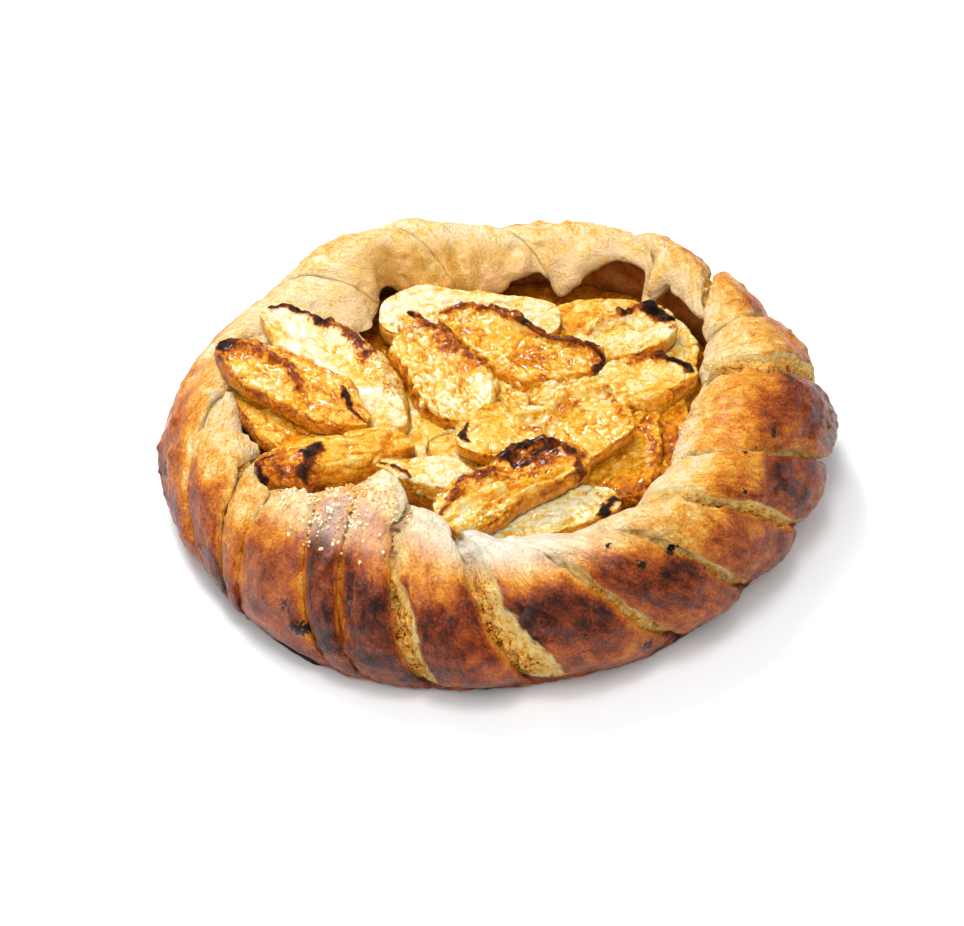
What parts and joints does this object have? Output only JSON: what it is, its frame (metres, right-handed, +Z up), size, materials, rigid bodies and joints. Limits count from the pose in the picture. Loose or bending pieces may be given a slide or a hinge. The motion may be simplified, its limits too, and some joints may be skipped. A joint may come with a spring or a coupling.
{
  "type": "apple tart",
  "caption": "Round rustic apple tart: browned dough with a pleated, folded-over rim round an open heap of baked apple slices.",
  "frame": {"origin": "middle of the outline on the surface that the tart stands on", "axes": "+Z up, -Y to the front of the tart, where the rim dips, +X to the right"},
  "size_m": [0.2203, 0.2126, 0.0479],
  "materials": {
    "crust": "baked dough, golden brown, pale inside the rim",
    "apple": "soft baked apple, moist, browned at the edges",
    "bed": "soft apple in juice"
  },
  "bodies": {
    "root": {"crust": "crust", "apple_glossy": "apple", "apple_left_charred": "apple", "apple_centre_back": "apple", "apple_folded": "apple", "apple_right": "apple", "apple_centre_left": "apple", "apple_front_left": "apple", "apple_left_pale": "apple", "apple_right_charred": "apple", "apple_front_small": "apple", "apple_back": "apple", "apple_sliver": "apple", "apple_front": "apple", "apple_left_low": "apple", "apple_right_low": "apple", "apple_middle_front": "apple", "apple_middle": "apple", "apple_back_right": "apple", "apple_right_edge": "apple", "apple_right_wall": "apple", "apple_bed": "bed"}
  },
  "joints": []
}
